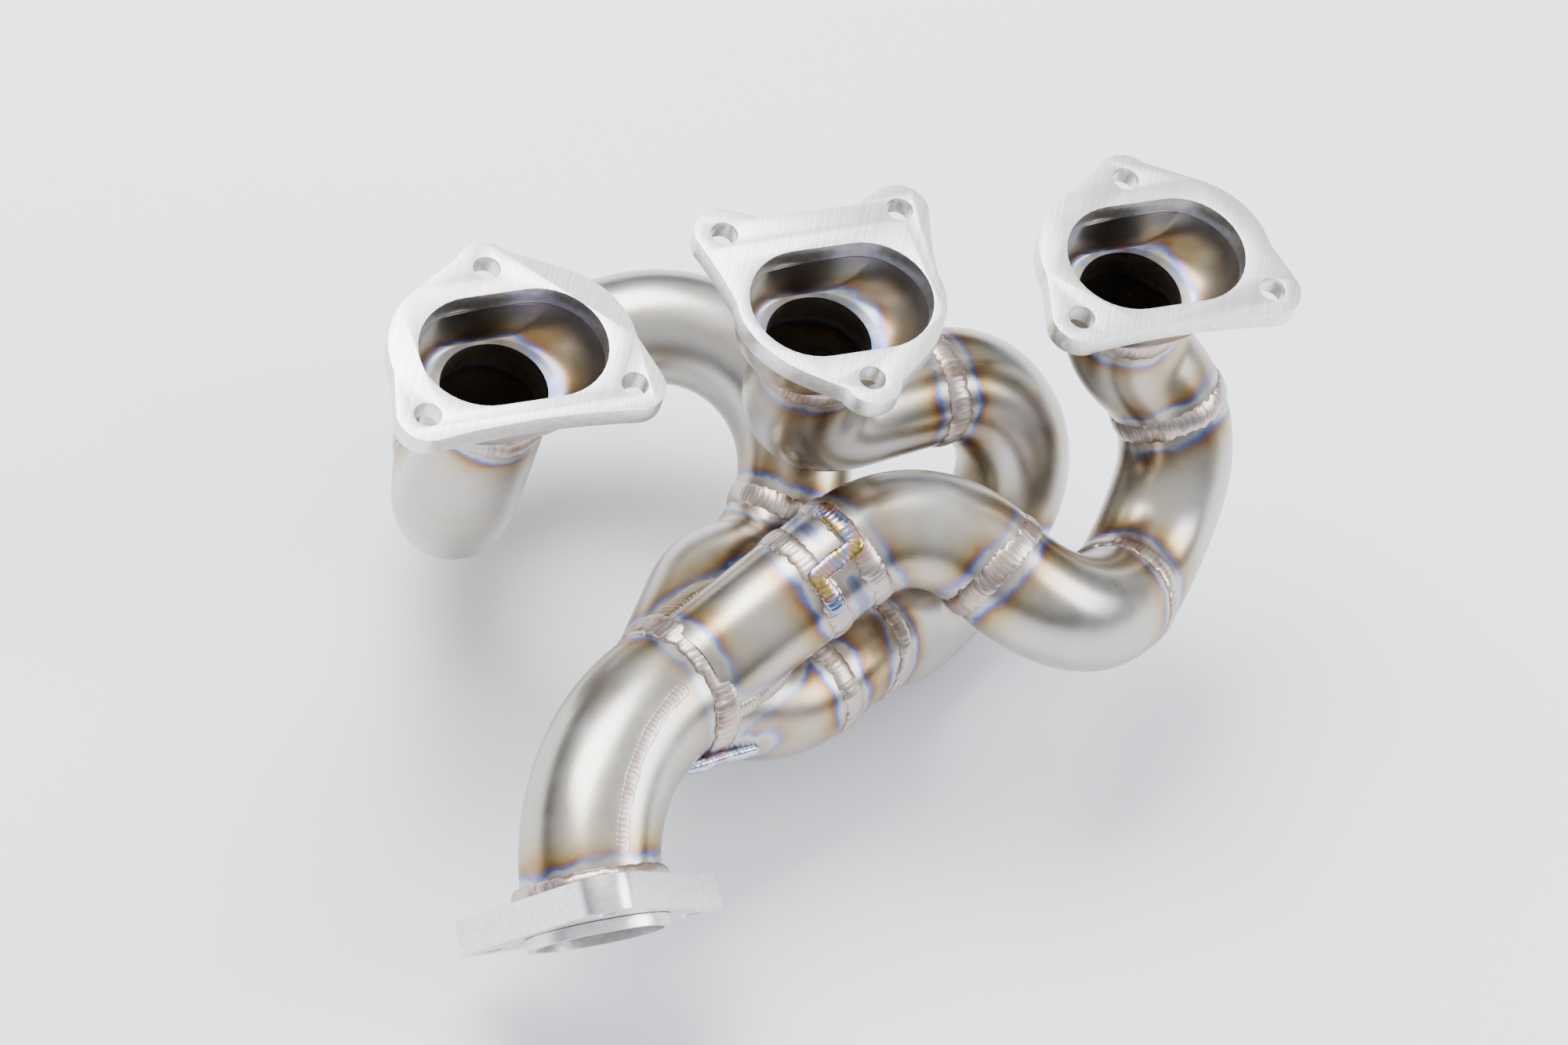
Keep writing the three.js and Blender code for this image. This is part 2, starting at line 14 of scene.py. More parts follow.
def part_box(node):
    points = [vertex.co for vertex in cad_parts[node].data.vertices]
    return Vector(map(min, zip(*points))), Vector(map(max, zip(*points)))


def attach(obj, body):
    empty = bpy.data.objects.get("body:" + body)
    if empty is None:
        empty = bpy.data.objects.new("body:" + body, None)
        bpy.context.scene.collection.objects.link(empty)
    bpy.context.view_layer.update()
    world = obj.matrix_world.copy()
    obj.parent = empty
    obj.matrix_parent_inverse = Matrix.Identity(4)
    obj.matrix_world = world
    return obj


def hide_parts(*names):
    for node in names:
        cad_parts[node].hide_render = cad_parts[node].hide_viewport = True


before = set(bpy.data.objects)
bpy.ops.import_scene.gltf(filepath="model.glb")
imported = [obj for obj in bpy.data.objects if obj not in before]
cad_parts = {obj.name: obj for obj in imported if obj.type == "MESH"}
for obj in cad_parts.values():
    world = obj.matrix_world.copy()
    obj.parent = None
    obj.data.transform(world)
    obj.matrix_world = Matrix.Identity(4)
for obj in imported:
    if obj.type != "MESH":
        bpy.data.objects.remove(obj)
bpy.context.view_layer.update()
bpy.ops.object.select_all(action="DESELECT")

MM = 0.001
UP = Vector((0, 0, 1))

# ---- sizes ----

PORT_PITCH = 118
PORT_ARC_REACH = 10.8
PORT_RADIUS = 22
PORT_FLANGE_THICKNESS = 8
CUP_WALL = 2
CUP_DEPTH = 25
CUP_SHOULDER = 4.4  # from the runner's first joint up to where the cup swells
RUNNER_START = -PORT_FLANGE_THICKNESS - CUP_DEPTH
RUNNER_OFFSET = Vector((-2, 1.5, 0))

TUBE_RADIUS = 20.65
TUBE_WALL = 1.65
OUTLET_RADIUS = 24.15
OUTLET_WALL = 2

JOINT = Vector((-66.7, -82.4, -103.5))
COLLECTOR_HEADING, COLLECTOR_RISE = 207, 8
LEG_SPLAY, LEG_TWIST = 27, -9
MERGE_LENGTH = 50

OUTLET_BEND_RADIUS, OUTLET_LEAD = 76, 2.6
OUTLET_HEADING, OUTLET_DROP = 269, 21.5
OUTLET_FLANGE_THICKNESS = 12
LIP_HEIGHT, LIP_WALL = 4, 2.85
SEAM_ANGLE = 84

BEAD_HALF_WIDTH, BEAD_CROWN = 4.1, 1.0
COLLECTOR_BEAD_HALF_WIDTH, COLLECTOR_BEAD_CROWN, COLLECTOR_BEAD_SPREAD = 4.8, 1.9, 0.45
COLLECTOR_BEAD_SHIFT = 0.8  # from the joint up the collector, to the middle of its bead
OUTLET_BEAD_HALF_WIDTH, OUTLET_BEAD_CROWN = 3.2, 2.6
RIPPLE_PITCH = 1.9
SEAM_MARGIN = 8  # from each end of the elbow's bare length to its seam bead
BRIDGE_ANGLE = -108  # degrees round the collector's axis
SLIT = 0.3  # from a tube's end to the middle of its joint
LEG_OVERRUN = 14  # that a leg runs past the collector's joint before it is cut
CUP_NECK_STEP = 2  # from the cup's shoulder down to its straight neck
RIM = 0.6  # eased edge of the plates

# Mesh fineness: sides round a tube, step along it, sections in a ripple, and sides of a bead and a cup
RING_SIDES, RING_STEP = 72, 2.4
RIPPLE_SECTIONS, RING_BEAD_SIDES, STRIP_BEAD_SIDES = 6, 14, 16
CUP_SIDES, CUP_RINGS = 120, 18
MARK_STEP = 10  # degrees between the heat marks of a ring
MERGE_GAP = 0.00001  # metres, inside which vertices are one

# The middle port's centre in the frame, from its flange
low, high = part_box("port_flange_2")
ORIGIN = Vector(((low.x + high.x) / 2, (low.y + high.y) / 2, high.z))


def metres(point):
    return ORIGIN + Vector(point) * MM


def bearing(heading, rise):
    """A unit vector from a heading round +Z and a rise above level, both in degrees."""
    turn, climb = math.radians(heading), math.radians(rise)
    return Vector((math.cos(climb) * math.cos(turn), math.cos(climb) * math.sin(turn), math.sin(climb)))


# ---- centre lines ----


class Route:
    """Straight spans that meet at corners, each corner rounded to its bend radius."""

    def __init__(self, corners, radii):
        self.spans = []
        start, origin = 0.0, corners[0]
        for index, corner in enumerate(corners[1:]):
            direction = (corner - corners[index]).normalized()
            if index + 2 == len(corners):
                self.spans.append((start, origin, direction, None, 0, 0))
                self.length = start + (corner - origin).length
                break
            onward = (corners[index + 2] - corner).normalized()
            turn = direction.angle(onward)
            reach = radii[index] * math.tan(turn / 2)
            entry = corner - direction * reach
            self.spans.append((start, origin, direction, None, 0, 0))
            start += (entry - origin).dot(direction)
            inward = (onward - direction * math.cos(turn)).normalized()
            self.spans.append((start, entry, direction, inward, radii[index], turn))
            start += radii[index] * turn
            origin = corner + onward * reach

    def span_at(self, distance):
        return max((span for span in self.spans if span[0] <= distance + 1e-6), key=lambda span: span[0],
                   default=self.spans[0])

    def at(self, distance):
        start, point, direction, inward, radius, _ = self.span_at(distance)
        run = distance - start
        if inward is None:
            return point + direction * run, direction.copy()
        angle = run / radius
        centre = point + inward * radius
        place = centre - inward * (radius * math.cos(angle)) + direction * (radius * math.sin(angle))
        return place, direction * math.cos(angle) + inward * math.sin(angle)

    def bend(self, number, share):
        """The distance to a place in a bend: bend 1 is the first, and a share of 1 is its far end."""
        start, _, _, _, radius, turn = [span for span in self.spans if span[3]][number - 1]
        return start + radius * turn * share

    def pieces(self, first, last):
        """The stretches between two distances, as (span, from, to), one for each span they cross."""
        marks = [span[0] for span in self.spans[1:]] + [math.inf]
        for span, mark in zip(self.spans, marks):
            begin = first if span is self.spans[0] else max(first, span[0])
            end = min(last, mark)
            if end - begin > 0.01:
                yield span, begin, end


AXIS = bearing(COLLECTOR_HEADING, COLLECTOR_RISE)
AXIS_UP = (UP - AXIS * AXIS.z).normalized()
AXIS_SIDE = AXIS.cross(AXIS_UP)
LEG_OFFSET = OUTLET_RADIUS - TUBE_RADIUS


def outward(angle):
    """The way out from the collector's axis at an angle from straight up."""
    return AXIS_UP * math.cos(math.radians(angle)) + AXIS_SIDE * math.sin(math.radians(angle))


# Each runner: corners from its start, corners from the collector's joint, bend radii, last straight, leg
# angle, and its pieces in order, each ending at a place in a bend.
RUNNERS = [
    dict(
        from_port=[(-3, 0, -89), (26, 70.5, -91)],
        from_joint=[(123.7, 149.4, 18.5), (63.7, 64.4, -42.5)],
        radii=[40, 44, 49.5, 31, 46],
        leg_length=64,
        leg_angle=LEG_TWIST + 120,
        pieces=[("elbow", 1, 1.05), ("return_bend", 3, 1)],
    ),
    dict(
        from_port=[(0, 0, -48), (76.5, 13.5, -53), (104.5, -3, -86)],
        from_joint=[(131.2, 50.9, -71.9), (82.5, 20.4, -22.7)],
        radii=[31, 34, 41, 44, 44, 43],
        leg_length=51,
        leg_angle=LEG_TWIST - 120,
        pieces=[("elbow", 2, 0), ("return_bend", 3, 1), ("lower_bend", 5, 0.5), ("sleeve", 6, 0)],
    ),
    dict(
        from_port=[(0, 0, -20), (35, -17, -50), (12, -55.1, -89), (-39.4, -100.5, -57)],
        from_joint=[],
        radii=[38, 43, 41.5, 46.5, 39],
        leg_length=109.7,
        leg_angle=LEG_TWIST,
        pieces=[("elbow", 2, 0.35), ("long_bend", 3, 1), ("over_bend", 4, 1), ("entry_bend", 5, 1),
                ("sleeve", 5, 1.33)],
    ),
]
PORTS = [Vector((side * PORT_PITCH, 0, 0)) for side in (-1, 0, 1)]


def runner_route(runner, port):
    start = port + RUNNER_OFFSET + UP * RUNNER_START
    out = outward(runner["leg_angle"])
    end = JOINT + out * LEG_OFFSET
    splay = math.radians(LEG_SPLAY)
    inward = AXIS * math.cos(splay) - out * math.sin(splay)
    corners = [start]
    corners += [start + Vector(corner) for corner in runner["from_port"]]
    corners += [JOINT + Vector(corner) for corner in runner["from_joint"]]
    corners += [end - inward * runner["leg_length"], end]
    return Route(corners, runner["radii"])


ROUTES = [runner_route(runner, port) for runner, port in zip(RUNNERS, PORTS)]

OUTLET_WAY = bearing(OUTLET_HEADING, -OUTLET_DROP)
outlet_reach = OUTLET_BEND_RADIUS * math.tan(AXIS.angle(OUTLET_WAY) / 2)
outlet_corner = JOINT + AXIS * (OUTLET_LEAD + outlet_reach)
OUTLET_END = outlet_corner + OUTLET_WAY * outlet_reach
OUTLET_ROUTE = Route([JOINT, outlet_corner, OUTLET_END], [OUTLET_BEND_RADIUS])
HALF_FLANGE = OUTLET_FLANGE_THICKNESS / 2

# ---- weld places, which the heat tint spreads from ----

heat_marks = []


def mark_ring(point, direction, radius):
    turned = direction.to_track_quat("Z", "Y")
    for step in range(360 // MARK_STEP):
        angle = math.radians(step * MARK_STEP)
        heat_marks.append(point + turned @ Vector((radius * math.cos(angle), radius * math.sin(angle), 0)))


def collector_point(angle, radius, distance):
    """A point at an angle round the collector's axis, a radius from it, and a distance up from the joint."""
    return JOINT - AXIS * distance + outward(angle) * radius


def valley_point(route, angle, distance):
    """Where the surfaces of two neighbouring legs cross, at a distance up the collector's axis."""
    out = outward(angle)
    point, direction = route.at(route.length)
    away = collector_point(angle, 0, distance) - point
    along, slope = away.dot(direction), out.dot(direction)
    square = 1 - slope * slope
    half = away.dot(out) - along * slope
    rest = away.length_squared - along * along - TUBE_RADIUS**2
    reach = (-half + math.sqrt(max(half * half - square * rest, 0))) / square
    return collector_point(angle, reach, distance)


# ---- mesh tools ----


def pick(piece):
    bpy.ops.object.select_all(action="DESELECT")
    piece.select_set(True)
    bpy.context.view_layer.objects.active = piece


def finish_piece(piece, nodes, material, smooth=35):
    """Gives a finished mesh its shading, material and place in the frame."""
    pick(piece)
    bpy.ops.object.shade_smooth_by_angle(angle=math.radians(smooth))
    piece.data.materials.clear()
    piece.data.materials.append(material)
    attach(piece, "root")
    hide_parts(*nodes)
    return piece


def start_ring(name, point, direction, radius, sides=RING_SIDES):
    """A circle across a centre line, left in edit mode with all of it selected."""
    bpy.ops.object.select_all(action="DESELECT")
    turned = direction.to_track_quat("Z", "Y").to_euler()
    bpy.ops.mesh.primitive_circle_add(
        vertices=sides, radius=radius * MM, location=metres(point), rotation=turned)
    piece = bpy.context.object
    piece.name = piece.data.name = name
    bpy.ops.object.transform_apply(location=True, rotation=True, scale=True)
    bpy.ops.object.mode_set(mode="EDIT")
    bpy.ops.mesh.select_all(action="SELECT")
    return piece


def close_edit():
    """Turns every face outwards and leaves edit mode."""
    bpy.ops.mesh.select_all(action="SELECT")
    bpy.ops.mesh.normals_make_consistent(inside=False)
    bpy.ops.object.mode_set(mode="OBJECT")


def draw_tube(name, route, first, last, radius, wall=0.0):
    """A ring drawn along a route: extruded along straights and spun round bends, then given a wall."""
    piece = start_ring(name, *route.at(first), radius)
    for (start, point, direction, inward, bend_radius, _), begin, end in route.pieces(first, last):
        steps = max(1, round((end - begin) / RING_STEP))
        if inward is None:
            shift = direction * ((end - begin) / steps * MM)
            for _ in range(steps):
                bpy.ops.mesh.extrude_region_move(TRANSFORM_OT_translate={"value": shift})
        else:
            centre = metres(point + inward * bend_radius)
            bpy.ops.mesh.spin(steps=steps, angle=(end - begin) / bend_radius, use_auto_merge=False,
                              center=centre, axis=inward.cross(direction))
    close_edit()
    if wall:
        give_wall(piece, wall)
    return piece


def give_wall(piece, wall):
    solidify = piece.modifiers.new("wall", "SOLIDIFY")
    solidify.thickness = wall * MM
    solidify.offset = -1
    solidify.use_even_offset = True
    bpy.context.view_layer.objects.active = piece
    bpy.ops.object.modifier_apply(modifier=solidify.name)


def read_vertices(piece, key="co"):
    flat = np.empty(len(piece.data.vertices) * 3)
    piece.data.vertices.foreach_get(key, flat)
    return flat.reshape(-1, 3)


def positions(piece):
    """Vertex positions in millimetres from the middle port."""
    return (read_vertices(piece) - np.array(ORIGIN)) / MM


def move_vertices(piece, places):
    piece.data.vertices.foreach_set("co", (places * MM + np.array(ORIGIN)).ravel())
    piece.data.update()


def keep_value(piece, name, values):
    """Stores one number for each vertex, for the materials to read."""
    attribute = piece.data.attributes.new(name, "FLOAT", "POINT")
    attribute.data.foreach_set("value", np.asarray(values, dtype=np.float32))


def trim(piece, point, normal, near=None):
    """Cuts away what is on the side of a plane that its normal points to. near limits the cut to some
    faces."""
    bpy.context.view_layer.objects.active = piece
    bpy.ops.object.mode_set(mode="EDIT")
    bpy.ops.mesh.select_all(action="DESELECT")
    bpy.ops.object.mode_set(mode="OBJECT")
    for face in piece.data.polygons:
        centre = (face.center - ORIGIN) / MM
        face.select = near is None or near(centre)
    bpy.ops.object.mode_set(mode="EDIT")
    bpy.ops.mesh.select_mode(type="FACE")
    bpy.ops.mesh.bisect(plane_co=metres(point), plane_no=normal, clear_outer=True)
    bpy.ops.mesh.select_mode(type="VERT")
    bpy.ops.object.mode_set(mode="OBJECT")


# ---- materials ----


def srgb(colour):
    """A hex colour as linear red, green, blue and alpha."""
    parts = [int(colour[place : place + 2], 16) / 255 for place in (1, 3, 5)]
    return [part / 12.92 if part <= 0.04045 else ((part + 0.055) / 1.055) ** 2.4 for part in parts] + [1]


def add_node(tree, kind, links=None, **settings):
    """Adds a node: links sets its inputs, each to a value or another node's output, and settings its
    properties."""
    made = tree.nodes.new(kind)
    for key, value in settings.items():
        setattr(made, key, value)
    for key, value in (links or {}).items():
        if isinstance(value, bpy.types.NodeSocket):
            tree.links.new(value, made.inputs[key])
        else:
            made.inputs[key].default_value = value
    return made


def paint_ramp(ramp, stops):
    """Sets a colour ramp's stops, each a place from 0 to 1 and a hex colour."""
    elements = ramp.color_ramp.elements
    while len(elements) < len(stops):
        elements.new(0.5)
    for element, (place, colour) in zip(elements, stops):
        element.position = place
        element.color = srgb(colour)


def new_material(name):
    material = bpy.data.materials.new(name)
    material.use_nodes = True
    tree = material.node_tree
    shader = tree.nodes["Principled BSDF"]
    shader.inputs["Metallic"].default_value = 1
    return material, tree, shader


HEAT_REACH = 24  # millimetres from a weld over which the tint fades


def satin_tube():
    """Bent 304 stainless tube with a satin mill finish: warm grey, with soft highlights, brown haze and a
    thin blue and purple line beside each weld."""
    material, tree, shader = new_material("satin_304_stainless_tube")
    place = add_node(tree, "ShaderNodeTexCoord").outputs["Object"]
    heat = add_node(tree, "ShaderNodeAttribute", attribute_name="weld_distance").outputs["Fac"]
    drift = add_node(tree, "ShaderNodeTexNoise", {"Vector": place, "Scale": 1000 / 14, "Detail": 3})
    shifted = add_node(tree, "ShaderNodeMath", {0: drift.outputs["Fac"], 1: 0.5}, operation="SUBTRACT")
    spread = add_node(
        tree, "ShaderNodeMath", {0: shifted.outputs[0], 1: 9.0, 2: heat}, operation="MULTIPLY_ADD")
    share = add_node(tree, "ShaderNodeMath", {0: spread.outputs[0], 1: 1 / HEAT_REACH}, operation="MULTIPLY")
    tint = add_node(tree, "ShaderNodeValToRGB", {"Fac": share.outputs[0]})
    paint_ramp(tint, [
        (0.0, "#a89d93"), (0.08, "#bcb6ae"), (0.12, "#93a0bd"), (0.16, "#5a70a8"), (0.195, "#7a5f82"),
        (0.235, "#8c6a45"), (0.34, "#a68f66"), (0.52, "#b0a58e"), (0.80, "#b7b3ab"), (1.0, "#bab7b2"),
    ])
    cool = add_node(tree, "ShaderNodeTexNoise", {"Vector": place, "Scale": 1000 / 26, "Detail": 2})
    faded = add_node(
        tree, "ShaderNodeMapRange",
        {"Value": cool.outputs["Fac"], "From Min": 0.42, "From Max": 0.62, "To Max": 0.55})
    tinted = add_node(
        tree, "ShaderNodeMix", {"Factor": faded.outputs[0], 6: tint.outputs["Color"], 7: srgb("#b9b6b1")},
        data_type="RGBA")
    cloud = add_node(
        tree, "ShaderNodeTexNoise", {"Vector": place, "Scale": 1000 / 45, "Detail": 4, "Roughness": 0.6})
    stain = add_node(tree, "ShaderNodeValToRGB", {"Fac": cloud.outputs["Fac"]})
    paint_ramp(stain, [(0.35, "#e6e0d6"), (0.6, "#ffffff")])
    colour = add_node(
        tree, "ShaderNodeMix", {"Factor": 0.8, 6: tinted.outputs[2], 7: stain.outputs["Color"]},
        data_type="RGBA", blend_type="MULTIPLY")
    tree.links.new(colour.outputs[2], shader.inputs["Base Color"])
    # Polishing marks are finer than this; they are drawn 1.2 mm across so that they show
    satin = add_node(tree, "ShaderNodeTexNoise", {"Vector": place, "Scale": 1000 / 1.2, "Detail": 4})
    rough = add_node(
        tree, "ShaderNodeMapRange",
        {"Value": cloud.outputs["Fac"], "From Min": 0.3, "From Max": 0.7, "To Min": 0.24, "To Max": 0.38})
    tree.links.new(rough.outputs[0], shader.inputs["Roughness"])
    bump = add_node(
        tree, "ShaderNodeBump", {"Height": satin.outputs["Fac"], "Strength": 0.12, "Distance": 0.0002})
    tree.links.new(bump.outputs[0], shader.inputs["Normal"])
    return material


def milled_plate():
    """Stainless plate, face milled and then dressed on a belt: bright and slightly rough, with fine straight
    lines that catch the light along one diagonal. Its sawn edges are smoother and greyer."""
    material, tree, shader = new_material("face_milled_stainless_plate")
    place = add_node(tree, "ShaderNodeTexCoord").outputs["Object"]
    milled = add_node(tree, "ShaderNodeAttribute", attribute_name="milled").outputs["Fac"]
    # Cutter lines, drawn 0.9 mm apart so that they show and 60 mm long, turned 28 degrees about the port axis
    turned = add_node(tree, "ShaderNodeMapping", {"Vector": place, "Rotation": (0, 0, math.radians(28))})
    laid = add_node(
        tree, "ShaderNodeMapping", {"Vector": turned.outputs[0], "Scale": (1000 / 0.9, 1000 / 60, 1000 / 40)})
    lines = add_node(
        tree, "ShaderNodeTexNoise", {"Vector": laid.outputs[0], "Scale": 1, "Detail": 3, "Roughness": 0.7})
    grain = add_node(tree, "ShaderNodeTexNoise", {"Vector": place, "Scale": 1000 / 2.5, "Detail": 4})
    pattern = add_node(
        tree, "ShaderNodeMix", {"Factor": milled, 2: grain.outputs["Fac"], 3: lines.outputs["Fac"]},
        data_type="FLOAT")
    shade = add_node(tree, "ShaderNodeValToRGB", {"Fac": pattern.outputs[0]})
    paint_ramp(shade, [(0.3, "#d6d6d5"), (0.7, "#efefee")])
    tree.links.new(shade.outputs["Color"], shader.inputs["Base Color"])
    rough = add_node(tree, "ShaderNodeMapRange", {"Value": milled, "To Min": 0.34, "To Max": 0.42})
    tree.links.new(rough.outputs[0], shader.inputs["Roughness"])
    bump = add_node(
        tree, "ShaderNodeBump", {"Height": pattern.outputs[0], "Strength": 0.35, "Distance": 0.00025})
    tree.links.new(bump.outputs[0], shader.inputs["Normal"])
    return material


def weld_metal(name, stops, roughness):
    """TIG weld metal: overlapping ripples, with painted shade that darkens the colour in their hollows and a
    painted highlight that brightens it on their crests.
    """
    material, tree, shader = new_material(name)
    place = add_node(tree, "ShaderNodeTexCoord").outputs["Object"]
    ripple = add_node(tree, "ShaderNodeAttribute", attribute_name="ripple").outputs["Fac"]
    cloud = add_node(tree, "ShaderNodeTexNoise", {"Vector": place, "Scale": 1000 / 9, "Detail": 3})
    tint = add_node(tree, "ShaderNodeValToRGB", {"Fac": cloud.outputs["Fac"]})
    paint_ramp(tint, stops)
    # Painted shade and highlight: the ripple height scales the weld colour from 0.8 in the hollows to 1.03 on
    # the crests
    ripple_shade_and_highlight = add_node(tree, "ShaderNodeMapRange", {"Value": ripple, "To Min": 0.8, "To Max": 1.03})
    colour = add_node(
        tree, "ShaderNodeVectorMath", {0: tint.outputs["Color"], "Scale": ripple_shade_and_highlight.outputs[0]},
        operation="SCALE")
    tree.links.new(colour.outputs[0], shader.inputs["Base Color"])
    shader.inputs["Roughness"].default_value = roughness
    fine = add_node(tree, "ShaderNodeTexNoise", {"Vector": place, "Scale": 1000 / 0.8, "Detail": 2})
    bump = add_node(
        tree, "ShaderNodeBump", {"Height": fine.outputs["Fac"], "Strength": 0.3, "Distance": 0.0002})
    tree.links.new(bump.outputs[0], shader.inputs["Normal"])
    return material


SATIN_TUBE = satin_tube()
MILLED_PLATE = milled_plate()
BRONZE_WELD = weld_metal(
    "tig_weld_bronze", [(0.32, "#b0968a"), (0.45, "#c4b2a6"), (0.56, "#b5aeab"), (0.7, "#cdbcae")], 0.34)
BROWN_WELD = weld_metal(
    "tig_weld_straw_brown", [(0.32, "#8c7559"), (0.45, "#a58f72"), (0.55, "#94836c"), (0.7, "#b5a288")], 0.36)
GOLD_WELD = weld_metal(
    "tig_weld_gold",
    [(0.34, "#8f7a3e"), (0.43, "#c0a465"), (0.5, "#c79aa4"), (0.56, "#7f9ccb"), (0.66, "#b59e6a")], 0.24)
BLUE_WELD = weld_metal(
    "tig_weld_overheated",
    [(0.34, "#86a3d6"), (0.44, "#c3cfe6"), (0.52, "#d9d0cc"), (0.6, "#b79cc2"), (0.72, "#93a9cf")], 0.24)

# ---- weld beads ----


def ripple_height(phase):
    """Overlapping scales: a slow rise and a quick fall, from 0 to 1."""
    return 0.5 + 0.5 * np.sin(phase + 0.7 * np.sin(phase))


def ring_bead(name, point, direction, radius, half_width, crown, nodes, seed, spread=0.0):
    """A ring weld: a torus shaped to a low crown and rippled round its length. seed shifts its unevenness,
    and spread widens its upstream side, where the tubes it closes splay out."""
    ripples = round(2 * math.pi * radius / RIPPLE_PITCH)
    bpy.ops.object.select_all(action="DESELECT")
    bpy.ops.mesh.primitive_torus_add(
        major_segments=ripples * RIPPLE_SECTIONS, minor_segments=RING_BEAD_SIDES, major_radius=radius * MM,
        minor_radius=MM)
    piece = bpy.context.object
    piece.name = piece.data.name = name
    x, y, z = (read_vertices(piece) / MM).T
    around = np.arctan2(y, x)
    section = np.arctan2(z, np.hypot(x, y) - radius)
    across, rise = np.sin(section), np.cos(section)
    phase = (ripples * around + 3.0 * (1 - across**2) + 1.3 * np.sin(9 * around + seed)
             + 0.8 * np.sin(23 * around))
    height = ripple_height(phase)
    wander = (np.sin(3 * around + seed) + 0.7 * np.sin(7 * around + 2.3 * seed)
              + 0.6 * np.sin(19 * around + seed))
    edge = 1 + 0.05 * wander + 0.05 * height + 0.05 * np.sin(31 * around + 4 * np.sign(across) + seed)
    width = half_width * edge
    top = crown * (1 + 0.1 * wander) + 0.16 * (height - 0.5)
    lift = np.where(rise > 0, top * np.maximum(rise, 0) ** 1.1, 0.7 * rise)
    along = width * across + 0.3 * wander
    rho = radius + lift + np.maximum(-along, 0) * spread
    turned = direction.to_track_quat("Z", "Y").to_matrix()
    local = np.stack([rho * np.cos(around), rho * np.sin(around), along], axis=1)
    move_vertices(piece, local @ np.array(turned).T + np.array(point))
    # The ripple height is kept for the weld material's painted shade in the hollows and painted highlight on
    # the crests
    keep_value(piece, "ripple", height)
    return finish_piece(piece, nodes, BRONZE_WELD, smooth=60)


def strip_bead(name, points, normals, half_width, crown, nodes, material=BRONZE_WELD, *, sink):
    """A weld laid along a few points: a grid rolled into a closed strip, shaped to a low crown and rippled.
    normals are the ways up at the points, and sink is how far its underside goes into the metal."""
    lengths = [0.0]
    for here, there in zip(points, points[1:]):
        lengths.append(lengths[-1] + (there - here).length)
    steps = max(8, round(lengths[-1] / RIPPLE_PITCH * RIPPLE_SECTIONS))
    bpy.ops.object.select_all(action="DESELECT")
    bpy.ops.mesh.primitive_grid_add(x_subdivisions=steps, y_subdivisions=STRIP_BEAD_SIDES, size=2)
    piece = bpy.context.object
    piece.name = piece.data.name = name
    x, y, _ = read_vertices(piece).T
    run = (x + 1) / 2 * lengths[-1]
    section = y * math.pi
    across, rise = -np.sin(section), np.cos(section)
    phase = 2 * math.pi * run / RIPPLE_PITCH + 3.0 * (1 - across**2) + 1.2 * np.sin(run / 2.7)
    height = ripple_height(phase)
    wander = np.sin(run / 3.1) + 0.6 * np.sin(run / 1.3 + 1)
    ends = np.sqrt(np.clip(np.minimum(run, lengths[-1] - run) / half_width, 0, 1))
    width = half_width * (1 + 0.07 * wander + 0.05 * height) * (0.15 + 0.85 * ends)
    top = (crown * (1 + 0.1 * wander) + 0.18 * (height - 0.5)) * (0.1 + 0.9 * ends)
    lift = np.where(rise > 0, top * np.maximum(rise, 0) ** 1.1, sink * rise * (0.1 + 0.9 * ends))
    path = np.array([list(point) for point in points])
    ways = np.array([list(normal) for normal in normals])
    centre = np.stack([np.interp(run, lengths, path[:, axis]) for axis in range(3)], axis=1)
    way = np.stack([np.interp(run, lengths, ways[:, axis]) for axis in range(3)], axis=1)
    way /= np.linalg.norm(way, axis=1)[:, None]
    tangents = np.gradient(path, np.array(lengths), axis=0)
    ahead = np.stack([np.interp(run, lengths, tangents[:, axis]) for axis in range(3)], axis=1)
    side = np.cross(ahead, way)
    side /= np.linalg.norm(side, axis=1)[:, None]
    move_vertices(piece, centre + way * lift[:, None] + side * (width * across)[:, None])
    # The ripple height is kept for the weld material's painted shade in the hollows and painted highlight on
    # the crests
    keep_value(piece, "ripple", height)
    bpy.ops.object.mode_set(mode="EDIT")
    bpy.ops.mesh.select_all(action="SELECT")
    bpy.ops.mesh.remove_doubles(threshold=MERGE_GAP)
    bpy.ops.mesh.select_all(action="DESELECT")
    bpy.ops.mesh.select_non_manifold()
    bpy.ops.mesh.fill()
    close_edit()
    return finish_piece(piece, nodes, material, smooth=60)


# ---- runners ----

tubes = []  # every tube piece, tinted once all welds are known
legs = []

for index, (runner, route) in enumerate(zip(RUNNERS, ROUTES)):
    number = index + 1
    start = 0.0
    point, direction = route.at(0)
    ring_bead(f"port_{number}_bead", point, direction, TUBE_RADIUS, BEAD_HALF_WIDTH, BEAD_CROWN,
              [f"port_weld_{number}"], seed=number)
    mark_ring(point, direction, TUBE_RADIUS)
    for order, (piece_name, bend, share) in enumerate(runner["pieces"]):
        end = route.bend(bend, share)
        node = f"runner_{number}_{piece_name}"
        tube = draw_tube(f"{node}_tube", route, start + SLIT, end - SLIT, TUBE_RADIUS, TUBE_WALL)
        tubes.append((tube, node))
        point, direction = route.at(end)
        weld = f"runner_{number}_weld_{order + 1}"
        ring_bead(f"{weld}_bead", point, direction, TUBE_RADIUS, BEAD_HALF_WIDTH, BEAD_CROWN, [weld],
                  seed=3 * number + order)
        mark_ring(point, direction, TUBE_RADIUS)
        start = end
    legs.append((route, start))

# ---- collector ----


def in_merge(centre):
    return -(centre - JOINT).dot(AXIS) < MERGE_LENGTH


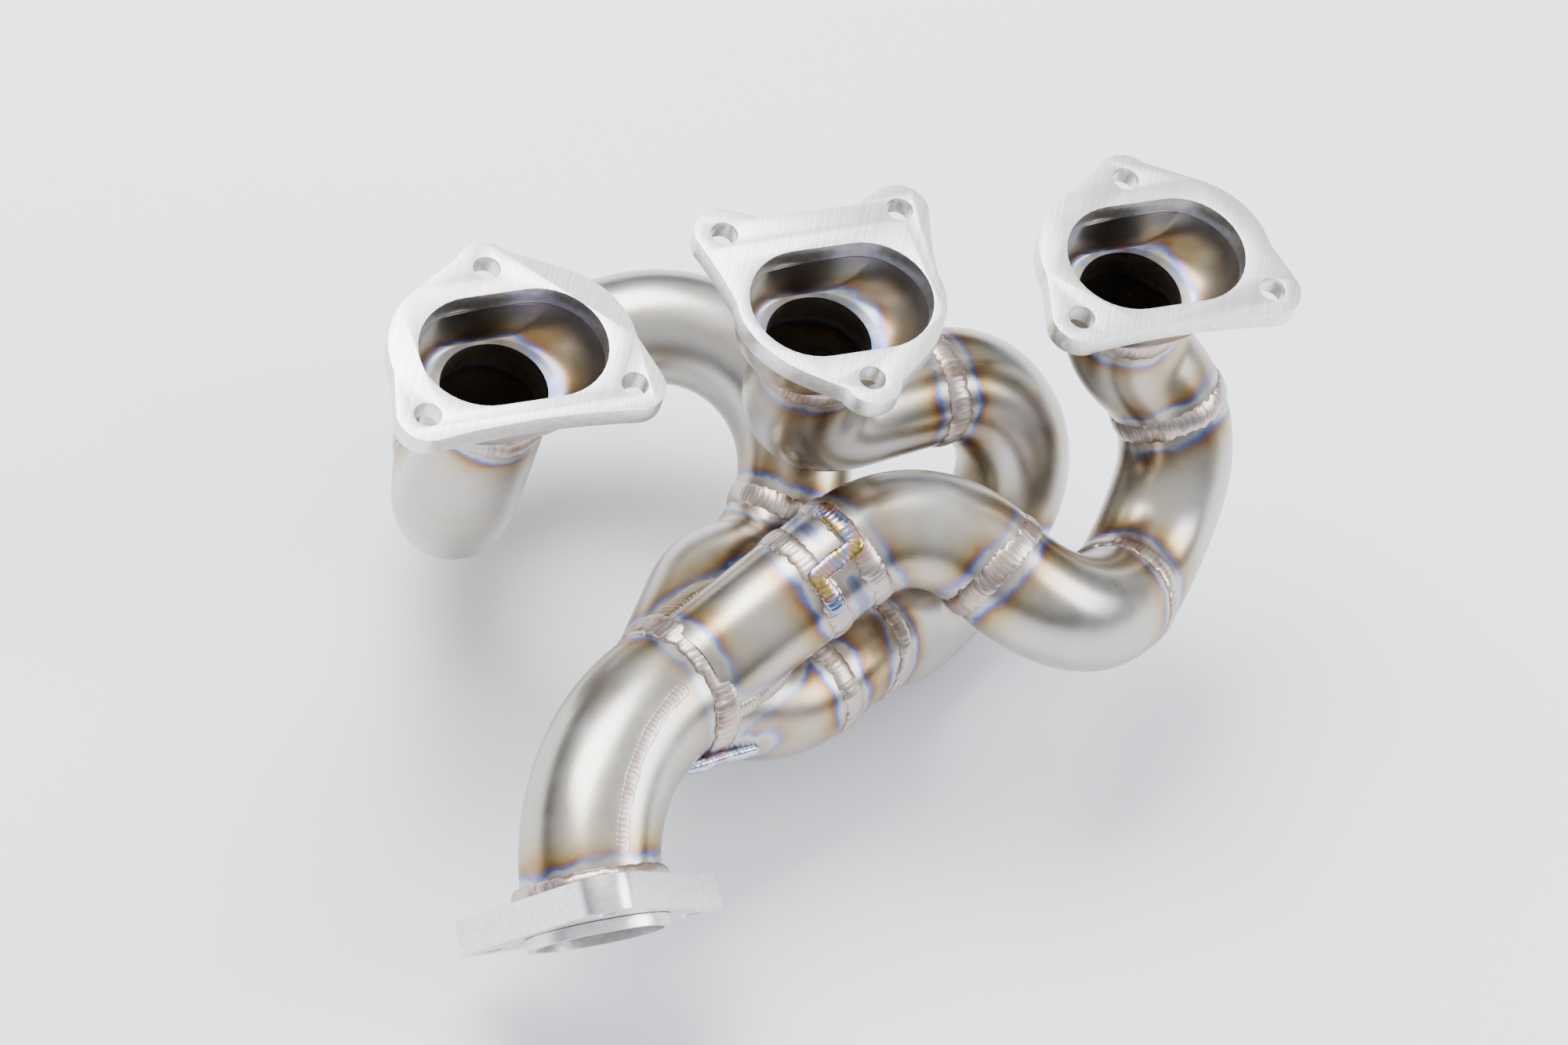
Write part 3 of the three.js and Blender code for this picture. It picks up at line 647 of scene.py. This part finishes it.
for index, (route, start) in enumerate(legs):
    number = index + 1
    angle = RUNNERS[index]["leg_angle"]
    leg = draw_tube(f"collector_leg_{number}_tube", route, start + SLIT, route.length + LEG_OVERRUN,
                    TUBE_RADIUS)
    for side in (-1, 1):
        divide = outward(angle + side * 60)
        away = divide.cross(AXIS) * side
        if away.dot(outward(angle)) > 0:
            away = -away
        trim(leg, JOINT + outward(angle) * 0.2, away, near=in_merge)
    trim(leg, JOINT - AXIS * SLIT, AXIS)
    give_wall(leg, TUBE_WALL)
    tubes.append((leg, f"collector_leg_{number}"))

mark_ring(JOINT, AXIS, OUTLET_RADIUS)
ring_bead("collector_bead", JOINT - AXIS * COLLECTOR_BEAD_SHIFT, AXIS, OUTLET_RADIUS,
          COLLECTOR_BEAD_HALF_WIDTH, COLLECTOR_BEAD_CROWN, ["collector_weld"], seed=2.0,
          spread=COLLECTOR_BEAD_SPREAD)

# Each valley: its legs, the leg it is measured from, its angle, how fast its fill rises upstream, half width
# and metal. It runs between two distances up the collector's axis.
VALLEY_START, VALLEY_END, VALLEY_POINTS = 5, 42, 12
VALLEY_PROUD = 0.6  # of the fill at the joint
VALLEYS = [
    ("31", 2, LEG_TWIST + 60, 0.11, 5.6, BROWN_WELD),
    ("12", 0, LEG_TWIST + 180, 0.02, 3.2, BRONZE_WELD),
    ("23", 1, LEG_TWIST - 60, 0.02, 3.2, BRONZE_WELD),
]
for label, leg_index, angle, slope, half_width, metal in VALLEYS:
    marks = np.linspace(VALLEY_START, VALLEY_END, VALLEY_POINTS)
    points = [valley_point(ROUTES[leg_index], angle, mark) for mark in marks]
    heat_marks.extend(points)
    filled = [point + outward(angle) * (VALLEY_PROUD + slope * mark) for point, mark in zip(points, marks)]
    strip_bead(f"valley_{label}_bead", filled, [outward(angle)] * len(points), half_width, 0.9,
               [f"valley_weld_{label}"], metal, sink=6)

fork_angle = LEG_TWIST + 60
UPPER_SIDE = Vector((-0.34, -0.48, 0.81))  # the way that the third leg's hot pass faces
TIE_START, TIE_STEP, TIE_POINTS, TIE_PROUD = 37, 4, 9, 5  # up the collector's axis, and out of the fork
tie_points = []
for step in range(TIE_POINTS):
    distance = TIE_START + step * TIE_STEP
    reach = LEG_OFFSET + distance * math.tan(math.radians(LEG_SPLAY))
    tie_points.append(collector_point(fork_angle, reach / 2 + TIE_PROUD, distance))
heat_marks.extend(tie_points)
strip_bead("tie_bead", tie_points, [outward(fork_angle)] * len(tie_points), 5.4, 1.6, ["tie_weld"],
           BROWN_WELD, sink=5)

# A hot pass climbs the sleeve's two rings and crosses between them on the third leg's upper side
HOT_LEAVES, HOT_LANDS = 0.3, 0.65  # shares of its length where it leaves one ring and lands on the other
HOT_TURNS = (-45, 62)  # degrees that it runs round each ring
HOT_PROUD = 0.7
sleeve_route = ROUTES[2]
ring_marks = (sleeve_route.bend(5, 1.33), sleeve_route.bend(5, 1))
hot_points, hot_ways = [], []
for share in np.linspace(0, 1, 28):
    along = min(max((share - HOT_LEAVES) / (HOT_LANDS - HOT_LEAVES), 0), 1)
    before, after = max(HOT_LEAVES - share, 0) / HOT_LEAVES, max(share - HOT_LANDS, 0) / (1 - HOT_LANDS)
    turned = math.radians(HOT_TURNS[0] * before + HOT_TURNS[1] * after)
    point, direction = sleeve_route.at(ring_marks[0] + (ring_marks[1] - ring_marks[0]) * along)
    face = (UPPER_SIDE - direction * UPPER_SIDE.dot(direction)).normalized()
    toward_fork = outward(fork_angle) - direction * outward(fork_angle).dot(direction)
    toward_fork = (toward_fork - face * toward_fork.dot(face)).normalized()
    way = face * math.cos(turned) + toward_fork * math.sin(turned)
    hot_points.append(point + way * (TUBE_RADIUS + HOT_PROUD))
    hot_ways.append(way)
strip_bead("hot_pass_bead", hot_points, hot_ways, 3.3, 1.3, ["tie_weld"], GOLD_WELD, sink=1.5)
heat_marks.extend(hot_points)

bridge_points = [collector_point(BRIDGE_ANGLE, radius, distance)
                 for radius, distance in ((33, 17), (30.5, 8), (28.4, 0), (26.6, -8), (25, -15))]
heat_marks.extend(bridge_points)
strip_bead("bridge_bead", bridge_points, [outward(BRIDGE_ANGLE)] * len(bridge_points), 3.2, 2.2,
           ["bridge_weld"], BLUE_WELD, sink=2.5)

# ---- outlet ----

elbow = draw_tube("outlet_elbow_tube", OUTLET_ROUTE, SLIT, OUTLET_ROUTE.length + HALF_FLANGE - SLIT,
                  OUTLET_RADIUS, OUTLET_WALL)
tubes.append((elbow, "outlet_elbow"))

flange_back = OUTLET_END - OUTLET_WAY * HALF_FLANGE
mark_ring(flange_back, OUTLET_WAY, OUTLET_RADIUS)
ring_bead("outlet_bead", flange_back - OUTLET_WAY * 1.6, OUTLET_WAY, OUTLET_RADIUS + 0.4,
          OUTLET_BEAD_HALF_WIDTH, OUTLET_BEAD_CROWN, ["outlet_weld"], seed=5)

seam_normal = AXIS.cross(OUTLET_WAY).normalized()
seam_points, seam_ways = [], []
for distance in np.linspace(OUTLET_LEAD + SEAM_MARGIN, OUTLET_ROUTE.length - HALF_FLANGE - SEAM_MARGIN, 24):
    point, direction = OUTLET_ROUTE.at(distance)
    outside = direction.cross(seam_normal)
    way = outside * math.cos(math.radians(SEAM_ANGLE)) + seam_normal * math.sin(math.radians(SEAM_ANGLE))
    seam_points.append(point + way * (OUTLET_RADIUS - 0.15))
    seam_ways.append(way)
strip_bead("outlet_seam_bead", seam_points, seam_ways, 2.3, 0.3, ["outlet_seam_weld"], sink=0.8)

lip_start = OUTLET_END + OUTLET_WAY * (HALF_FLANGE + 0.3)
lip_route = Route([lip_start, lip_start + OUTLET_WAY * LIP_HEIGHT], [])
lip = draw_tube("outlet_lip", lip_route, 0, LIP_HEIGHT, OUTLET_RADIUS - OUTLET_WALL + LIP_WALL, LIP_WALL)

# ---- port cups ----


def port_cup(number, port):
    """A pressed cup: a ring under the flange, narrowed in steps to the round neck. Its two round ends close up
    and its centre moves across to the runner on the way down."""
    top, shoulder = -PORT_FLANGE_THICKNESS - 0.3, RUNNER_START + CUP_SHOULDER
    heights = [top + (shoulder - top) * math.sin(math.pi / 2 * step / CUP_RINGS)
               for step in range(CUP_RINGS + 1)]
    heights += [shoulder - CUP_NECK_STEP, RUNNER_START + SLIT]
    cup = start_ring(f"port_cup_{number}_shell", port + UP * top, UP, 1, sides=CUP_SIDES)
    for above, below in zip(heights, heights[1:]):
        bpy.ops.mesh.extrude_region_move(TRANSFORM_OT_translate={"value": (0, 0, (below - above) * MM)})
    bpy.ops.object.mode_set(mode="OBJECT")
    x, y, z = (positions(cup) - np.array(port)).T
    depth = np.clip((top - z) / (top - shoulder), 0, 1)
    closing = np.sqrt(np.clip(1 - depth**2, 0, 1))
    radius = TUBE_RADIUS + (PORT_RADIUS + CUP_WALL - TUBE_RADIUS) * closing
    around = np.arctan2(y, x)
    spread = PORT_ARC_REACH * closing * np.clip(3 * np.cos(around), -1, 1)
    shaped = np.stack([
        radius * np.cos(around) + spread + RUNNER_OFFSET.x * depth,
        radius * np.sin(around) + RUNNER_OFFSET.y * depth,
        z,
    ], axis=1)
    move_vertices(cup, shaped + np.array(port))
    bpy.ops.object.mode_set(mode="EDIT")
    close_edit()
    give_wall(cup, CUP_WALL)
    return cup


for index, port in enumerate(PORTS):
    tubes.append((port_cup(index + 1, port), f"port_cup_{index + 1}"))

# ---- flanges ----


def dressed_flange(node, face_way):
    """The plate of a CAD node, with its rims eased. face_way points out of its milled face."""
    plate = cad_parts[node].copy()
    plate.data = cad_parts[node].data.copy()
    bpy.context.scene.collection.objects.link(plate)
    plate.parent = None
    for key in [key for key in plate.keys() if key.startswith("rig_")]:
        del plate[key]
    plate.name = plate.data.name = f"{node}_plate"
    pick(plate)
    bpy.ops.object.mode_set(mode="EDIT")
    bpy.ops.mesh.select_all(action="SELECT")
    bpy.ops.mesh.remove_doubles(threshold=MERGE_GAP)
    bpy.ops.mesh.dissolve_limited(angle_limit=math.radians(1))
    bpy.ops.object.mode_set(mode="OBJECT")
    bevel = plate.modifiers.new("eased rims", "BEVEL")
    bevel.width = RIM * MM
    bevel.segments = 3
    bevel.limit_method = "ANGLE"
    bevel.angle_limit = math.radians(50)
    bpy.ops.object.modifier_apply(modifier=bevel.name)
    facing = read_vertices(plate, "normal") @ np.array(face_way)
    keep_value(plate, "milled", facing > 0.6)
    return finish_piece(plate, [node], MILLED_PLATE, smooth=40)


for number in (1, 2, 3):
    dressed_flange(f"port_flange_{number}", UP)
dressed_flange("outlet_flange", OUTLET_WAY)
keep_value(lip, "milled", np.zeros(len(lip.data.vertices)))
finish_piece(lip, ["outlet_lip_ring"], MILLED_PLATE)

# ---- heat tint ----

marks = kdtree.KDTree(len(heat_marks))
for order, mark in enumerate(heat_marks):
    marks.insert(mark, order)
marks.balance()
for tube, node in tubes:
    reach = [max(marks.find(Vector(place))[2] - BEAD_HALF_WIDTH, 0) for place in positions(tube)]
    keep_value(tube, "weld_distance", reach)
    finish_piece(tube, [node], SATIN_TUBE)

# ---- stage ----

bpy.ops.mesh.primitive_plane_add(size=6, location=(0, 0, -0.0005))
floor = bpy.context.object
floor.name = "floor"
floor_paint = bpy.data.materials.new("matt_white_table")
floor_paint.use_nodes = True
floor_shader = floor_paint.node_tree.nodes["Principled BSDF"]
floor_shader.inputs["Base Color"].default_value = srgb("#f3f5fa")
floor_shader.inputs["Roughness"].default_value = 0.7
floor.data.materials.append(floor_paint)


def softbox(name, place, size, watts, colour):
    light = bpy.data.lights.new(name, "AREA")
    light.shape = "RECTANGLE"
    light.size, light.size_y = size
    light.energy = watts
    light.color = srgb(colour)[:3]
    lamp = bpy.data.objects.new(name, light)
    bpy.context.scene.collection.objects.link(lamp)
    lamp.location = place
    lamp.rotation_euler = (Vector((0, 0, 0.05)) - Vector(place)).to_track_quat("-Z", "Y").to_euler()


softbox("key_softbox", (-0.4, 0.9, 1.7), (1.5, 1.1), 80, "#ffffff")
softbox("fill_softbox", (1.5, -0.5, 1.1), (1.0, 1.0), 34, "#f6f8ff")
world = bpy.data.worlds.new("studio")
bpy.context.scene.world = world
world.use_nodes = True
# The room is dim at eye level and brightens to a pale ceiling
room = world.node_tree
way = add_node(room, "ShaderNodeTexCoord").outputs["Generated"]
height = add_node(room, "ShaderNodeSeparateXYZ", {0: way}).outputs["Z"]
shade = add_node(room, "ShaderNodeValToRGB", {"Fac": height})
paint_ramp(shade, [(0.0, "#5c5f66"), (0.22, "#74787f"), (0.5, "#e4e8ef"), (1.0, "#ffffff")])
room.links.new(shade.outputs["Color"], room.nodes["Background"].inputs["Color"])
room.nodes["Background"].inputs["Strength"].default_value = 1.35

# ---- camera ----

CAMERA_PLACE = Vector((-659.05, -944.46, 1471.91))
CAMERA_UP = Vector((0.148162, 0.825622, 0.544423))
CAMERA_BACK = Vector((-0.337016, -0.475397, 0.812661))
camera = bpy.data.cameras.new("camera")
camera.lens, camera.sensor_width = 126, 36
stand = bpy.data.objects.new("camera", camera)
bpy.context.scene.collection.objects.link(stand)
turn = Matrix((CAMERA_UP.cross(CAMERA_BACK), CAMERA_UP, CAMERA_BACK)).transposed()
stand.matrix_world = Matrix.Translation(metres(CAMERA_PLACE)) @ turn.to_4x4()
bpy.context.scene.camera = stand
